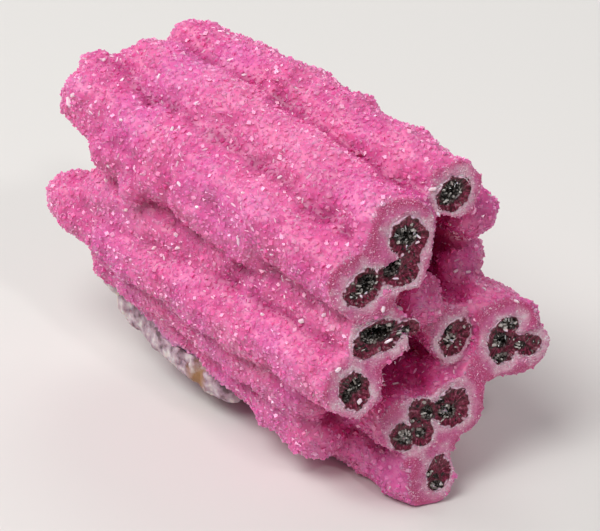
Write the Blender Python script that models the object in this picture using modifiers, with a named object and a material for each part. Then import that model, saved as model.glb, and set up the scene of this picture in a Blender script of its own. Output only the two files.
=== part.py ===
"""A bundle of pink druse-coated stalactite fingers, grown together and broken off at one end.

The fingers run along X, with their broken ends at +X and their round tips at -X. The specimen
rests on its lowest fingers at Z = 0. Each broken end shows a hollow lined with dark crystals.
"""
import math
import random

import bmesh
import bpy
from mathutils import Matrix, Vector

MM = 0.001

# Driving sizes, in millimetres
GAP = 0.3                  # clearance between two pieces that touch
VOXEL = 0.34               # cell size that the fused bundle is rebuilt at
BUNDLE_TRIANGLES = 4650    # triangles left in the fused bundle
LUMP_SIZE = 3.4            # broad swellings along a finger
LUMP_HEIGHT = 0.75
CRYSTAL_SIZE = 1.25        # coarse crystals of the druse
CRYSTAL_HEIGHT = 0.55
SWAY = 0.22                # how far a finger's middle line wanders
FINGER_STEPS = 26          # places along a finger's middle line
CAP_ANGLES = (22.0, 42.0, 60.0, 75.0, 86.0)   # degrees at which a round end has its rings
BEYOND_BREAK = 2.5         # how far a finger runs past the break before it is cut off there
BREAK_NORMAL = Vector((1.0, -0.30, 0.25)).normalized()   # the way the broken ends face
RESTING_HEIGHT = 0.2       # where the lowest fingers are worn flat, in the frame of the tables below

# Fingers that end at the break: end centre, tip centre, radius at the end, radius at the tip,
# and how far the middle bows up
BROKEN_FINGERS = {
    "top": ((0.0, 5.4, 28.3), (-35.3, 5.4, 27.5), 2.6, 2.75, 1.1),
    "wide_upper": ((-0.2, 0.1, 26.1), (-33.8, -0.1, 27.7), 3.25, 3.1, 0.2),
    "wide_middle": ((0.2, -0.8, 23.5), (-22.0, -1.6, 24.3), 2.75, 2.4, 0.0),
    "wide_lower": ((-0.6, -4.2, 22.4), (-36.9, -4.4, 25.3), 3.2, 3.25, 0.0),
    "left": ((0.6, -3.0, 17.8), (-34.5, -5.3, 17.0), 3.0, 2.7, 0.0),
    "low_left": ((0.6, -6.4, 13.6), (-39.2, -6.0, 13.8), 2.95, 3.0, 0.0),
    "inner": ((0.3, 5.4, 13.95), (-31.0, 5.0, 15.0), 2.75, 2.6, 0.0),
    "right": ((3.0, 10.1, 12.7), (-33.0, 9.4, 16.0), 3.6, 2.8, 0.0),
    "right_upper": ((2.6, 9.4, 14.1), (-20.0, 9.4, 16.2), 2.7, 2.4, 0.0),
    "lower_left": ((1.5, -0.5, 7.95), (-29.0, -0.8, 8.7), 2.85, 2.65, 0.0),
    "right_foot": ((2.5, 6.9, 11.1), (-16.0, 7.0, 11.4), 1.5, 1.5, 0.0),
    "lower_right": ((2.6, 3.7, 8.5), (-31.0, 4.4, 9.3), 2.95, 2.7, 0.0),
    "lower_outer": ((2.9, 5.0, 9.4), (-20.0, 5.2, 10.0), 1.75, 1.7, 0.0),
    "foot_bridge": ((2.4, 1.3, 5.6), (-20.0, 1.4, 5.8), 2.3, 2.2, 0.0),
    "foot": ((3.0, 0.1, 2.75), (-27.5, -0.8, 2.85), 2.8, 2.85, 0.0),
}

# Fingers that end in a round tip short of the break
WHOLE_FINGERS = {
    "knob": ((-2.7, 9.5, 23.6), (-33.5, 9.6, 23.2), 2.65, 2.6, 0.0),
    "far_side": ((-5.4, 10.4, 17.4), (-36.5, 9.6, 19.4), 2.8, 2.75, 0.0),
    "wide_shoulder": ((-13.0, -5.0, 21.2), (-32.0, -5.7, 22.9), 2.5, 2.75, 0.0),
    "low_front": ((-6.9, -4.2, 4.7), (-30.2, -3.7, 7.3), 2.8, 2.35, 0.0),
    "low_back": ((-6.0, 7.6, 2.85), (-28.5, 6.9, 2.9), 2.85, 2.75, 0.0),
    "back": ((-6.0, 10.3, 8.2), (-33.5, 9.6, 9.6), 2.7, 2.65, 0.0),
    "between_chain_and_left": ((-3.2, -1.2, 20.3), (-24.0, -1.5, 20.4), 2.4, 2.3, 0.0),
    "between_chain_and_inner": ((-2.7, 3.1, 17.3), (-31.0, 2.3, 19.0), 2.9, 2.8, 0.0),
    "behind_chain": ((-9.0, 6.2, 22.0), (-31.0, 5.6, 22.6), 2.8, 2.7, 0.0),
    "between_inner_and_right": ((-5.0, 8.0, 14.6), (-28.0, 7.4, 15.0), 2.4, 2.3, 0.0),
    "under_inner": ((-2.2, 7.4, 10.6), (-27.0, 6.8, 11.0), 2.6, 2.3, 0.0),
    "deep_middle": ((-12.0, -1.6, 12.0), (-31.0, -1.8, 12.0), 2.9, 2.7, 0.0),
    "under_low_left": ((-7.0, -5.2, 9.2), (-33.0, -5.4, 10.2), 2.6, 2.5, 0.0),
    "deep_foot": ((-9.0, 3.4, 4.6), (-28.0, 3.2, 4.8), 2.5, 2.4, 0.0),
}

# Knobs that stand out of the fingers: centre and radius
KNOBS = (
    ((-20.8, 4.9, 29.9), 2.5),
    ((-36.4, -0.6, 27.6), 1.8),
    ((-38.3, -3.3, 26.4), 2.2),
    ((-13.8, 5.6, 29.8), 2.4),
    ((-28.0, -7.4, 21.0), 1.7),
)

# Hollows of the broken ends, in millimetres
POCKET_DEPTH = 2.3         # depth of a hollow in a broken end
CRUST_DEPTH = 0.9          # thickness of the dark crust at the bottom of its hollow
MOUTH_HEIGHT = 1.6         # how far the cutter of a hollow stands out of the break
CRUST_RISE = 0.12          # how far the crust's rim stands out of the break
BOWL_ROUGHNESS = 0.1       # unevenness of the crust's inner face
LOBE_STEP = 0.1            # overlapping lobes differ by this in height and depth, so no faces coincide
LOBE_SIDES = 10
LINK_SIDES = 6
BOWL_SIDES = 8
LINK_WIDTH = 1.15          # a lobe narrower than this only links its neighbours

# The finger in whose break each hollow lies, and its lobes. A lobe is its centre in the plane of
# the break, its two half widths and its turn in degrees.
HOLLOWS = {
    "core_top": ("top", (((-0.25, -0.1), 1.8, 1.3, 41),)),
    "core_middle_chain": ("wide_middle", (
        ((0.8, 2.35), 1.85, 1.7, 0), ((-0.05, -0.45), 1.6, 1.25, 163), ((-3.3, -1.15), 1.85, 1.25, 32),
        ((0.35, 0.9), 1.0, 0.95, 0), ((-1.65, -0.8), 0.9, 0.8, 0))),
    "core_left": ("left", (((-0.4, -0.05), 2.4, 1.45, 8), ((2.1, 0.3), 1.0, 0.75, 151))),
    "core_low_left": ("low_left", (((0.0, 0.0), 1.8, 1.4, 99),)),
    "core_inner": ("inner", (((0.0, 0.0), 1.8, 1.2, 50),)),
    "core_right": ("right", (
        ((-1.7, 0.0), 1.95, 1.6, 86), ((-0.6, 1.65), 1.25, 1.0, 149), ((1.2, -0.4), 1.5, 1.2, 163),
        ((-0.2, -0.2), 1.1, 0.9, 0))),
    "core_lower_chain": ("lower_right", (
        ((-0.45, 0.1), 1.9, 1.55, 142), ((-3.25, 0.35), 1.5, 1.2, 178), ((-5.2, -1.2), 1.4, 1.25, 126),
        ((-2.0, 0.3), 0.95, 0.85, 0), ((-4.3, -0.4), 1.05, 0.95, 0))),
    "core_foot": ("foot", (((0.75, 0.15), 1.6, 1.15, 62),)),
}

# The strip of matrix on the underside of the far end, in millimetres
MATRIX_TRIANGLES = 330     # triangles left in the matrix strip
MATRIX_VOXEL = 0.3
MATRIX_GRAIN = 1.1
MATRIX_GRAIN_HEIGHT = 0.5
LUMP_SCALE = (1.25, 1.0, 0.8, 1.0)   # its lumps are flattened balls, long ways along the strip
ROOM_SWELL = 1.6           # the fingers' room in the strip is larger by this many gaps
ROOM_VOXEL = 0.45
ROOM_TRIANGLES = 9000

# Places along the strip and their half thickness
MATRIX_LUMPS = (
    ((-34.4, -3.9, 6.7), 1.75), ((-32.2, -4.5, 5.4), 1.6), ((-30.2, -4.7, 5.0), 1.5),
    ((-28.2, -4.9, 4.6), 1.5), ((-26.2, -5.0, 4.2), 1.45), ((-24.2, -5.0, 3.8), 1.45),
    ((-22.2, -4.9, 3.5), 1.4), ((-20.3, -4.8, 3.1), 1.3), ((-18.5, -4.6, 2.8), 1.1),
    ((-31.0, -2.9, 4.8), 1.4), ((-27.5, -3.1, 3.9), 1.4), ((-24.0, -3.3, 3.3), 1.3),
)


def millimetres(point):
    """Return a point given in millimetres as a vector in metres."""
    return Vector(point) * MM


def mesh_of(obj):
    """Return the mesh that an object has after its modifiers, in world space."""
    depsgraph = bpy.context.evaluated_depsgraph_get()
    mesh = bpy.data.meshes.new_from_object(obj.evaluated_get(depsgraph))
    mesh.transform(obj.matrix_world)
    return mesh


def remove(obj):
    """Delete a helper object."""
    bpy.data.objects.remove(obj, do_unlink=True)


def settle(obj):
    """Make an object's modifiers part of its mesh."""
    mesh = mesh_of(obj)
    obj.modifiers.clear()
    obj.data = mesh
    obj.matrix_world = Matrix.Identity(4)


def add_object(name, mesh, collection):
    """Put a mesh in the scene as a named object."""
    obj = bpy.data.objects.new(name, mesh)
    collection.objects.link(obj)
    return obj


def material(name, colour, roughness):
    """Make the plain material of one piece."""
    result = bpy.data.materials.new(name)
    result.use_nodes = True
    shader = result.node_tree.nodes["Principled BSDF"]
    shader.inputs["Base Color"].default_value = (*colour, 1.0)
    shader.inputs["Roughness"].default_value = roughness
    shader.inputs["Metallic"].default_value = 0.0
    result.diffuse_color = (*colour, 1.0)
    return result


def finger_points(start, tip, start_radius, tip_radius, bow, round_start, chance):
    """Return the places and radii along one finger, with round ends where it has them."""
    axis = tip - start
    length = axis.length
    side = axis.cross(Vector((0.0, 0.0, 1.0))).normalized()
    lift = side.cross(axis).normalized()
    phases = [chance.uniform(0.0, math.tau) for _ in range(4)]
    rows = []
    for step in range(FINGER_STEPS + 1):
        share = step / FINGER_STEPS
        sway = SWAY * MM * math.sin(math.tau * share * 1.3 + phases[0])
        rise = SWAY * MM * math.sin(math.tau * share * 1.1 + phases[1])
        rise += bow * math.sin(math.pi * share)
        swell = 0.045 * math.sin(math.tau * share * 3.1 + phases[2])
        swell += 0.035 * math.sin(math.tau * share * 5.3 + phases[3])
        fade = min(1.0, 6.0 * share)
        radius = (start_radius + (tip_radius - start_radius) * share) * (1.0 + swell * fade)
        place = start + axis * share + side * (sway * fade) + lift * (rise * fade)
        rows.append((place, radius))
    direction = axis / length
    last_place, last_radius = rows[-1]
    for angle in CAP_ANGLES:
        turn = math.radians(angle)
        rows.append((last_place + direction * (last_radius * math.sin(turn)), last_radius * math.cos(turn)))
    if round_start:
        first_place, first_radius = rows[0]
        for angle in CAP_ANGLES:
            turn = math.radians(angle)
            rows.insert(0, (first_place - direction * (first_radius * math.sin(turn)),
                            first_radius * math.cos(turn)))
    return rows


def finger_mesh(rows):
    """Turn the places and radii of a finger into a closed tube."""
    curve = bpy.data.curves.new("finger_path", "CURVE")
    curve.dimensions = "3D"
    curve.bevel_depth = MM
    curve.bevel_resolution = 4
    curve.use_fill_caps = True
    spline = curve.splines.new("POLY")
    spline.points.add(len(rows) - 1)
    for point, (place, radius) in zip(spline.points, rows):
        point.co = (*place, 1.0)
        point.radius = radius / MM
    guide = bpy.data.objects.new("finger_path", curve)
    bpy.context.scene.collection.objects.link(guide)
    bpy.context.view_layer.update()
    mesh = mesh_of(guide)
    remove(guide)
    bpy.data.curves.remove(curve)
    return mesh


def cut_away(mesh, point, normal):
    """Weld a mesh, take off what lies beyond a plane and close the cut."""
    work = bmesh.new()
    work.from_mesh(mesh)
    bmesh.ops.remove_doubles(work, verts=work.verts, dist=1e-6)
    parts = work.verts[:] + work.edges[:] + work.faces[:]
    cut = bmesh.ops.bisect_plane(work, geom=parts, plane_co=point, plane_no=normal, clear_outer=True)
    rim = [item for item in cut["geom_cut"] if isinstance(item, bmesh.types.BMEdge)]
    bmesh.ops.holes_fill(work, edges=rim, sides=0)
    bmesh.ops.recalc_face_normals(work, faces=work.faces)
    work.to_mesh(mesh)
    work.free()


def round_lump(centre, radius, detail):
    """Return the mesh of one ball-shaped lump."""
    mesh = bpy.data.meshes.new("lump")
    work = bmesh.new()
    bmesh.ops.create_icosphere(work, subdivisions=detail, radius=radius, matrix=Matrix.Translation(centre))
    work.to_mesh(mesh)
    work.free()
    return mesh


def joined(meshes, name):
    """Put several meshes together in one, still as separate shells."""
    work = bmesh.new()
    for mesh in meshes:
        work.from_mesh(mesh)
        bpy.data.meshes.remove(mesh)
    result = bpy.data.meshes.new(name)
    work.to_mesh(result)
    work.free()
    return result


def add_relief(obj, name, kind, size, height):
    """Push a surface in and out by a procedural pattern of one size."""
    texture = bpy.data.textures.new(name, kind)
    texture.noise_scale = size
    if kind == "CLOUDS":
        texture.noise_depth = 1
    relief = obj.modifiers.new(name, "DISPLACE")
    relief.texture = texture
    relief.texture_coords = "LOCAL"
    relief.strength = height
    relief.mid_level = 0.5


def fuse(obj, voxel):
    """Rebuild overlapping shells as one skin."""
    remesh = obj.modifiers.new("fuse", "REMESH")
    remesh.mode = "VOXEL"
    remesh.voxel_size = voxel
    remesh.adaptivity = 0.0


def thin_out(obj, triangles):
    """Reduce a settled mesh to about a number of triangles."""
    obj.data.calc_loop_triangles()
    thin = obj.modifiers.new("thin_out", "DECIMATE")
    thin.ratio = triangles / len(obj.data.loop_triangles)
    settle(obj)


def keep_outer_skin(obj):
    """Delete every shell but the largest, so that no sealed hollow is left inside."""
    work = bmesh.new()
    work.from_mesh(obj.data)
    work.verts.ensure_lookup_table()
    seen = set()
    shells = []
    for seed in work.verts:
        if seed.index in seen:
            continue
        stack = [seed]
        seen.add(seed.index)
        shell = []
        while stack:
            vert = stack.pop()
            shell.append(vert)
            for edge in vert.link_edges:
                other = edge.other_vert(vert)
                if other.index not in seen:
                    seen.add(other.index)
                    stack.append(other)
        shells.append(shell)
    shells.sort(key=len)
    for shell in shells[:-1]:
        bmesh.ops.delete(work, geom=shell, context="VERTS")
    work.to_mesh(obj.data)
    work.free()


def combine(obj, other, operation):
    """Join another object to this one, or cut it away."""
    step = obj.modifiers.new(operation.lower(), "BOOLEAN")
    step.operation = operation
    step.solver = "EXACT"
    step.object = other
    settle(obj)


def break_frame(place):
    """Return the matrix of a broken end: local X and Y lie in the break, Z faces out of it."""
    across = Vector((-BREAK_NORMAL.y, BREAK_NORMAL.x, 0.0)).normalized()
    upward = BREAK_NORMAL.cross(across)
    turn = Matrix((across, upward, BREAK_NORMAL)).transposed().to_4x4()
    return Matrix.Translation(place) @ turn


def make_bundle(collection):
    """Make the fused fingers, before their hollows are cut."""
    chance = random.Random(7)
    meshes = []
    for start, tip, start_radius, tip_radius, bow in BROKEN_FINGERS.values():
        start_point = millimetres(start)
        beyond = start_point + Vector((BEYOND_BREAK * MM, 0.0, 0.0))
        rows = finger_points(beyond, millimetres(tip), start_radius * MM, tip_radius * MM, bow * MM,
                             False, chance)
        mesh = finger_mesh(rows)
        cut_away(mesh, start_point, BREAK_NORMAL)
        meshes.append(mesh)
    for start, tip, start_radius, tip_radius, bow in WHOLE_FINGERS.values():
        rows = finger_points(millimetres(start), millimetres(tip), start_radius * MM, tip_radius * MM,
                             bow * MM, True, chance)
        meshes.append(finger_mesh(rows))
    for centre, radius in KNOBS:
        meshes.append(round_lump(millimetres(centre), radius * MM, 3))
    bundle = add_object("calcite_fingers", joined(meshes, "calcite_fingers"), collection)
    fuse(bundle, VOXEL * MM)
    add_relief(bundle, "swellings", "CLOUDS", LUMP_SIZE * MM, LUMP_HEIGHT * MM)
    add_relief(bundle, "druse_crystals", "VORONOI", CRYSTAL_SIZE * MM, CRYSTAL_HEIGHT * MM)
    settle(bundle)
    keep_outer_skin(bundle)
    thin_out(bundle, BUNDLE_TRIANGLES)
    return bundle


def lobe_mesh(frame, lobe, rings, shrink, sides, chance, roughness):
    """Loft one lobe of a hollow, or of the crust in it, through rings of unlike size."""
    (across, upward), half_long, half_short, turn = lobe
    work = bmesh.new()
    angle = math.radians(turn)
    wobble = [1.0 + chance.uniform(-0.05, 0.05) for _ in range(sides)]
    loops = []
    for share, height in rings:
        loop = []
        for side in range(sides):
            around = math.tau * side / sides
            reach = share * wobble[side]
            long_way = (half_long * reach - shrink * share) * math.cos(around)
            short_way = (half_short * reach - shrink * share) * math.sin(around)
            x = across + long_way * math.cos(angle) - short_way * math.sin(angle)
            y = upward + long_way * math.sin(angle) + short_way * math.cos(angle)
            jitter = chance.uniform(-roughness, roughness)
            loop.append(work.verts.new(frame @ (Vector((x, y, height + jitter)) * MM)))
        loops.append(loop)
    for upper, lower in zip(loops, loops[1:]):
        for side in range(sides):
            after = (side + 1) % sides
            work.faces.new((upper[side], upper[after], lower[after], lower[side]))
    work.faces.new(loops[0])
    work.faces.new(list(reversed(loops[-1])))
    bmesh.ops.recalc_face_normals(work, faces=work.faces)
    bmesh.ops.triangulate(work, faces=work.faces)
    mesh = bpy.data.meshes.new("lobe")
    work.to_mesh(mesh)
    work.free()
    return mesh


def union_of_lobes(name, meshes, collection):
    """Join the lobes of one hollow into one closed shape."""
    shape = add_object(name, meshes[0], collection)
    for mesh in meshes[1:]:
        extra = add_object("extra_lobe", mesh, collection)
        combine(shape, extra, "UNION")
        remove(extra)
    return shape


def make_hollow(bundle, name, finger, lobes, pieces, cutters):
    """Cut one hollow in a broken end and line it with its dark crust."""
    end = BROKEN_FINGERS[finger][0]
    frame = break_frame(millimetres(end))
    chance = random.Random(name)
    pocket_lobes = []
    crust_lobes = []
    bowls = []
    for order, lobe in enumerate(lobes):
        is_link = lobe[1] < LINK_WIDTH
        sides = LINK_SIDES if is_link else LOBE_SIDES
        step = LOBE_STEP * order
        depth = POCKET_DEPTH - 1.1 * step
        waist = -0.5 * depth
        seed = name + str(order)
        pocket_rings = ((1.0, MOUTH_HEIGHT + step), (1.0, waist), (0.6, -depth))
        crust_rings = ((0.97, CRUST_RISE + 0.5 * step), (1.0, waist + 0.3 * GAP), (0.6, GAP - depth))
        pocket_lobes.append(lobe_mesh(frame, lobe, pocket_rings, 0.0, sides, random.Random(seed), 0.0))
        crust_lobes.append(lobe_mesh(frame, lobe, crust_rings, GAP, sides, random.Random(seed), 0.0))
        if not is_link:
            bowl_floor = CRUST_DEPTH + GAP - depth
            bowl_rings = ((0.86, 0.8 * MOUTH_HEIGHT + step), (0.8, -BOWL_ROUGHNESS), (0.3, bowl_floor))
            bowls.append(lobe_mesh(frame, lobe, bowl_rings, GAP, BOWL_SIDES, chance, BOWL_ROUGHNESS))
    pocket = union_of_lobes("hollow_of_" + name, pocket_lobes, cutters)
    pocket.hide_render = True
    pocket.display_type = "WIRE"
    combine(bundle, pocket, "DIFFERENCE")
    crust = union_of_lobes(name, crust_lobes, pieces)
    bowl = union_of_lobes("bowl_of_" + name, bowls, cutters)
    bowl.hide_render = True
    bowl.display_type = "WIRE"
    combine(crust, bowl, "DIFFERENCE")
    keep_outer_skin(crust)
    return crust


def make_matrix(bundle, pieces, cutters):
    """Make the matrix strip, carved to lie against the fingers with a small gap."""
    meshes = []
    for centre, radius in MATRIX_LUMPS:
        mesh = round_lump(Vector((0.0, 0.0, 0.0)), radius * MM, 3)
        mesh.transform(Matrix.Translation(millimetres(centre)) @ Matrix.Diagonal(LUMP_SCALE))
        meshes.append(mesh)
    strip = add_object("matrix_crust", joined(meshes, "matrix_crust"), pieces)
    fuse(strip, MATRIX_VOXEL * MM)
    add_relief(strip, "matrix_grain", "VORONOI", MATRIX_GRAIN * MM, MATRIX_GRAIN_HEIGHT * MM)
    settle(strip)
    keep_outer_skin(strip)
    thin_out(strip, MATRIX_TRIANGLES)
    room = add_object("room_for_fingers", bundle.data.copy(), cutters)
    room.hide_render = True
    room.display_type = "WIRE"
    swell = room.modifiers.new("clearance", "DISPLACE")
    swell.strength = ROOM_SWELL * GAP * MM
    swell.mid_level = 0.0
    fuse(room, ROOM_VOXEL * MM)
    settle(room)
    keep_outer_skin(room)
    thin_out(room, ROOM_TRIANGLES)
    combine(strip, room, "DIFFERENCE")
    keep_outer_skin(strip)
    return strip


def cut_resting_flats(bundle):
    """Cut small flats on the lowest fingers, where the specimen rests."""
    cut_away(bundle.data, millimetres((0.0, 0.0, RESTING_HEIGHT)), Vector((0.0, 0.0, -1.0)))


def place_on_origin(pieces):
    """Move all pieces so that the specimen stands centred on the origin."""
    corners = [vert.co for piece in pieces for vert in piece.data.vertices]
    middle_x = (min(c.x for c in corners) + max(c.x for c in corners)) / 2.0
    middle_y = (min(c.y for c in corners) + max(c.y for c in corners)) / 2.0
    shift = Matrix.Translation((-middle_x, -middle_y, -RESTING_HEIGHT * MM))
    for piece in pieces:
        piece.data.transform(shift)
        piece.data.update()
    print("moved by", [round(value / MM, 3) for value in shift.translation])


def main():
    for obj in list(bpy.data.objects):
        bpy.data.objects.remove(obj, do_unlink=True)
    pieces = bpy.data.collections.new("spherocobaltite_specimen")
    cutters = bpy.data.collections.new("cutters")
    bpy.context.scene.collection.children.link(pieces)
    bpy.context.scene.collection.children.link(cutters)

    bundle = make_bundle(pieces)
    cut_resting_flats(bundle)
    matrix_strip = make_matrix(bundle, pieces, cutters)
    crusts = [make_hollow(bundle, name, finger, lobes, pieces, cutters)
              for name, (finger, lobes) in HOLLOWS.items()]
    keep_outer_skin(bundle)

    bundle.data.materials.append(material("pink_calcite", (0.62, 0.12, 0.33), 0.45))
    matrix_strip.data.materials.append(material("pale_matrix", (0.58, 0.50, 0.44), 0.7))
    for crust in crusts:
        crust.data.materials.clear()
        crust.data.materials.append(material("dark_crystals_of_" + crust.name, (0.10, 0.02, 0.03), 0.2))
    place_on_origin([bundle, matrix_strip] + crusts)
    for piece in [bundle, matrix_strip] + crusts:
        piece.data.calc_loop_triangles()
        print(piece.name, len(piece.data.loop_triangles), "triangles")


main()
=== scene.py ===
"""Looks of a pink cobaltoan calcite specimen: a bundle of druse-coated stalactite fingers."""
import math
import random

import bmesh
import bpy
import numpy as np
from mathutils import Matrix, Vector, noise
from mathutils.bvhtree import BVHTree


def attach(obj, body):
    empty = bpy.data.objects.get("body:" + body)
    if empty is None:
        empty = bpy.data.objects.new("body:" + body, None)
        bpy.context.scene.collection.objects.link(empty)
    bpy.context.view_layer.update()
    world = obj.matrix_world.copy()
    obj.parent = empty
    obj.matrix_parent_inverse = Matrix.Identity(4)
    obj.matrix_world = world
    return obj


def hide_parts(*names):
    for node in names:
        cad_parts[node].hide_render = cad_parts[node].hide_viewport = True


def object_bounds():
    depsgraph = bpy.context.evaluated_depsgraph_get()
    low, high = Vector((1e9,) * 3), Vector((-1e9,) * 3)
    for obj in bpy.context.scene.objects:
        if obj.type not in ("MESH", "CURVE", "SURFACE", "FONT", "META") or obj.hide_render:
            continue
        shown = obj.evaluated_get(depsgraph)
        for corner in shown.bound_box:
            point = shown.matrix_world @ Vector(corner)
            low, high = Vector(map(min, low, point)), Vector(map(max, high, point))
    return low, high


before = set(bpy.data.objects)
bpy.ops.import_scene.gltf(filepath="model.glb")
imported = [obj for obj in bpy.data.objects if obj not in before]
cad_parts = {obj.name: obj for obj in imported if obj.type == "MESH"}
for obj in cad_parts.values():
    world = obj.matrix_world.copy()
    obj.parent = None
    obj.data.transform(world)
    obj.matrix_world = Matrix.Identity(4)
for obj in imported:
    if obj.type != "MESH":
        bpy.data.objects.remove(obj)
cad_low, cad_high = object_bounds()
MM = 0.001


# The camera and the studio.
# A long lens looks down on the broken ends from the right, 300 mm away, as a mineral is photographed.
# The specimen lies on a plain pale table, under one large soft light, a long side light and a small
# one that strikes glints from the crystal faces.
IMAGE_WIDTH = 600
IMAGE_HEIGHT = 531
LENS = 200.0
SENSOR = 36.0
CAMERA_DISTANCE = 300.0 * MM
AZIMUTH = 50.0
ELEVATION = 32.0
LOOK_AT = Vector((-0.426, 2.348, 11.933)) * MM


def linear(hex_colour):
    """Turn an sRGB hex colour into the linear colour that a shader takes."""
    values = [int(hex_colour[place:place + 2], 16) / 255.0 for place in (1, 3, 5)]
    return [v / 12.92 if v <= 0.04045 else ((v + 0.055) / 1.055) ** 2.4 for v in values] + [1.0]


def feed(tree, target, inputs):
    """Give a node's inputs their values; an input takes a value, another node or its output."""
    for name, value in inputs.items():
        if isinstance(value, bpy.types.Node):
            value = next(output for output in value.outputs if output.enabled)
        if isinstance(value, bpy.types.NodeSocket):
            tree.links.new(value, target.inputs[name])
        else:
            target.inputs[name].default_value = value


def node(tree, kind, inputs=None, stops=None, **settings):
    """Add a node with its settings, inputs and colour stops."""
    added = tree.nodes.new(kind)
    for name, value in settings.items():
        setattr(added, name, value)
    feed(tree, added, inputs or {})
    for place, (position, colour) in enumerate(stops or []):
        ramp = added.color_ramp
        stop = ramp.elements[place] if place < 2 else ramp.elements.new(position)
        stop.position = position
        stop.color = linear(colour)
    return added


def new_material(name):
    """Start a material; give it, its node tree and the shader that the nodes feed."""
    material = bpy.data.materials.new(name)
    material.use_nodes = True
    return material, material.node_tree, material.node_tree.nodes["Principled BSDF"]


def pick(obj):
    """Select one object alone and make it the active one."""
    bpy.ops.object.select_all(action="DESELECT")
    obj.select_set(True)
    bpy.context.view_layer.objects.active = obj


def apply_modifiers(obj):
    """Apply all modifiers of an object, first to last."""
    pick(obj)
    for modifier in list(obj.modifiers):
        bpy.ops.object.modifier_apply(modifier=modifier.name)


def direction_at(azimuth, elevation):
    """Give the direction from the specimen at an azimuth and an elevation in degrees."""
    around = math.radians(azimuth)
    above = math.radians(elevation)
    return Vector((
        math.sin(around) * math.cos(above),
        -math.cos(around) * math.cos(above),
        math.sin(above),
    ))


camera_back = direction_at(AZIMUTH, ELEVATION)
camera_right = Vector((math.cos(math.radians(AZIMUTH)), math.sin(math.radians(AZIMUTH)), 0.0))
camera_up = camera_back.cross(camera_right)
bpy.ops.object.camera_add(location=LOOK_AT + camera_back * CAMERA_DISTANCE)
camera = bpy.context.object
camera.name = "camera"
camera.rotation_mode = "QUATERNION"
camera.rotation_quaternion = (-camera_back).to_track_quat("-Z", "Y")
camera.data.lens = LENS
camera.data.sensor_width = SENSOR
camera.data.clip_start = 0.01
camera.data.clip_end = 10.0
camera.data.dof.use_dof = False
bpy.context.scene.camera = camera

TABLE_SIZE = 3.0
table_material, tree, shader = new_material("matt_table")
feed(tree, shader, {"Base Color": linear("#D9D6D2"), "Roughness": 0.6})
bpy.ops.object.select_all(action="DESELECT")
bpy.ops.mesh.primitive_plane_add(size=TABLE_SIZE, location=(0.0, 0.0, 0.0))
table = bpy.context.object
table.name = "table_top"
table.data.materials.append(table_material)

world = bpy.data.worlds.new("soft_room")
world.use_nodes = True
feed(world.node_tree, world.node_tree.nodes["Background"], {"Color": linear("#E6E8EC"), "Strength": 0.26})
bpy.context.scene.world = world
bpy.context.scene.view_settings.view_transform = "Standard"

# Each light: width, distance, azimuth and elevation as for the camera, power in watts
LIGHTS = {
    "large_soft_light": (0.34, 0.55, 5.0, 62.0, 2.25),
    "long_side_light": (0.22, 0.60, -60.0, 34.0, 1.1),
    "glint_light": (0.05, 0.50, 80.0, 48.0, 0.35),
    "back_fill_light": (0.40, 0.60, 215.0, 42.0, 0.8),
}
for name, (width, distance, azimuth, elevation, power) in LIGHTS.items():
    toward = direction_at(azimuth, elevation)
    bpy.ops.object.light_add(type="AREA", location=LOOK_AT + toward * distance)
    light = bpy.context.object
    light.name = name
    light.rotation_mode = "QUATERNION"
    light.rotation_quaternion = (-toward).to_track_quat("-Z", "Y")
    light.data.shape = "DISK"
    light.data.size = width
    light.data.energy = power


# The cores.
# The fingers grew round thin stalks. Each stalk is now a wall of maroon fibres round a cavity with dark
# glassy crystals. A core is a thin crust, flush with the broken end, that dips into its cavities.
BREAK_NORMAL = Vector((1.0, -0.30, 0.25)).normalized()
BREAK_ACROSS = Vector((-BREAK_NORMAL.y, BREAK_NORMAL.x, 0.0)).normalized()
BREAK_UP = BREAK_NORMAL.cross(BREAK_ACROSS)
CORE_STEP = 0.085 * MM
CORE_REACH = 1.14          # the crust is cut this many half widths from a lobe's middle
CORE_RISE = 0.05 * MM      # its rim stands this proud of the broken end
CORE_THICKNESS = 0.25 * MM
GRID_HALF_SIDE = 7.5 * MM  # half the side of the sheet that a crust is cut from
RIM_DIP = 3.5 * MM         # how fast the sheet dips outside its lobes, for each half width
WALL_DIP = 0.20 * MM
WALL_GRAIN = 0.09 * MM     # height of the rough grain of the maroon wall
NECK_SHARPNESS = 9.0
# Where dips, grain and crystals start and stop, in half widths from the middle
WALL_SLOPE = (0.98, 0.6)
CAVITY_SLOPE = (1.0, 0.3)
GRAIN_LIMIT = 0.95
CRYSTAL_LIMIT = 0.88
CAVITY_LIMIT = 0.95
FINE_GRAIN = 0.35          # sizes in mm of the two kinds of unevenness
COARSE_GRAIN = 0.9
RIM_RAGGED = (0.09, 0.05)  # how far the coarse and the fine kind move an outline, in half widths
EDGE_RAGGED = (0.05, 0.14)
CAVITY_RAGGED = 0.18
FIBRE_KINDS = 3.0          # keeps the fibre patterns of a core's lobes apart
LEAN_OUT = 0.9             # a crystal points this much out of the cavity for 1 towards its middle
STRAY_SHARE = 0.10         # share of the crystals that stand on a wall outside its cavities
LEVEL_TURN = 20            # the level of a broken end is felt at every so many degrees round a lobe
LEVEL_REACH = 1.3
FACING_SHARE = 0.93        # a hit counts where the surface faces along the break this well

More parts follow.
